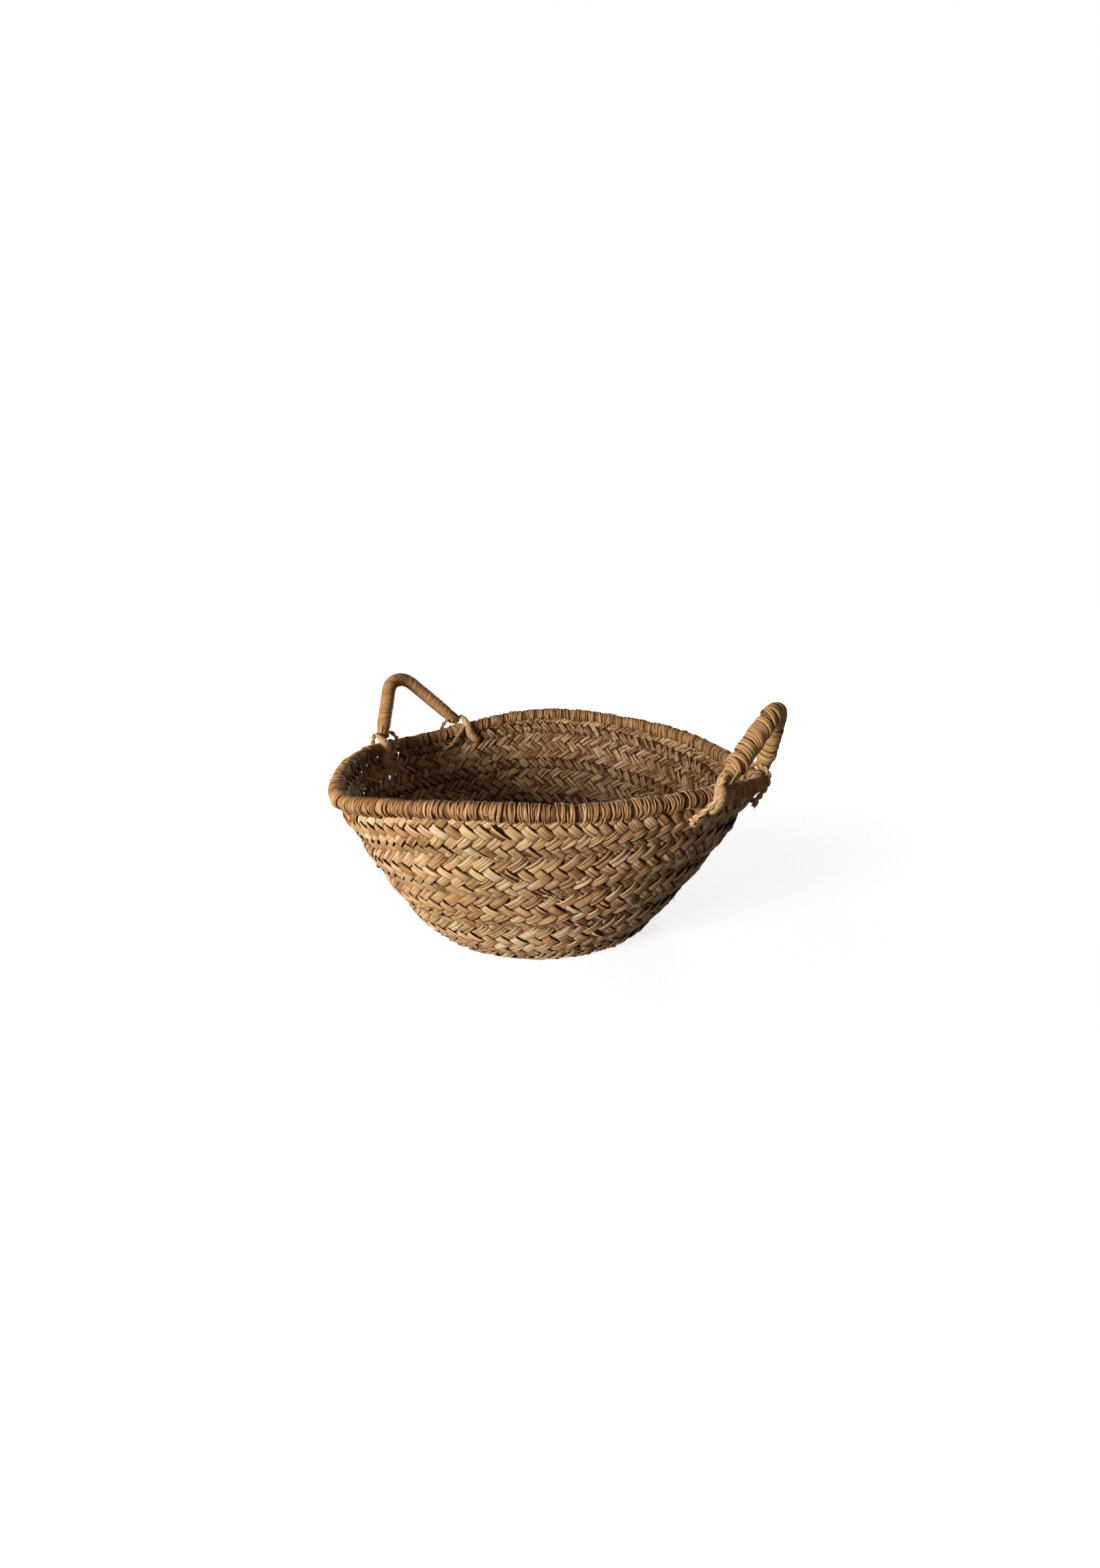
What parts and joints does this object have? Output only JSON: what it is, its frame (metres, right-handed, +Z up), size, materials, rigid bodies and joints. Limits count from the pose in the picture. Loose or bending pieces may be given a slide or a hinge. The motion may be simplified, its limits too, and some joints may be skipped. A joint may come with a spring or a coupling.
{
  "type": "woven storage basket",
  "caption": "Round open basket of plaited grass strip coiled and sewn into a flared bowl, with an overcast rim and a swinging rope handle at each side.",
  "frame": {"origin": "centre of the flat underside", "axes": "+Z up, +X from the back handle towards the front handle, +Y to the left of +X seen from above"},
  "size_m": [0.4611, 0.4243, 0.232],
  "materials": {
    "plait": "dry plaited grass, matte with a faint sheen along the stalks",
    "sewing_cord": "twisted grass cord, matte",
    "rim_core": "dry grass bundle, matte",
    "binding": "fine dry grass wound close, matte",
    "lashing": "two-ply twisted grass cord, matte",
    "handle_rope": "grass rope, matte",
    "handle_wrap": "dry grass wound round the rope, matte"
  },
  "bodies": {
    "basket": {"base_coil": "plait", "wall_coil": "plait", "seam_cord": "sewing_cord", "rim_core": "rim_core", "rim_binding": "binding", "lashing_front_a": "lashing", "lashing_front_b": "lashing", "lashing_back_a": "lashing", "lashing_back_b": "lashing"},
    "handle_front": {"handle_core_front": "handle_rope", "handle_wrap_front": "handle_wrap"},
    "handle_back": {"handle_core_back": "handle_rope", "handle_wrap_back": "handle_wrap"}
  },
  "joints": [
    {"name": "handle_front_swing", "type": "hinge", "parent": "basket", "child": "handle_front", "pos_m": [0.20622, 0.02631, 0.17428], "axis": [-0.1161, 0.9867, -0.1135], "range_deg": [-75, 54]},
    {"name": "handle_back_swing", "type": "hinge", "parent": "basket", "child": "handle_back", "pos_m": [-0.19416, 0.01896, 0.16844], "axis": [-0.097, -0.9942, -0.0469], "range_deg": [-86, 46]}
  ]
}
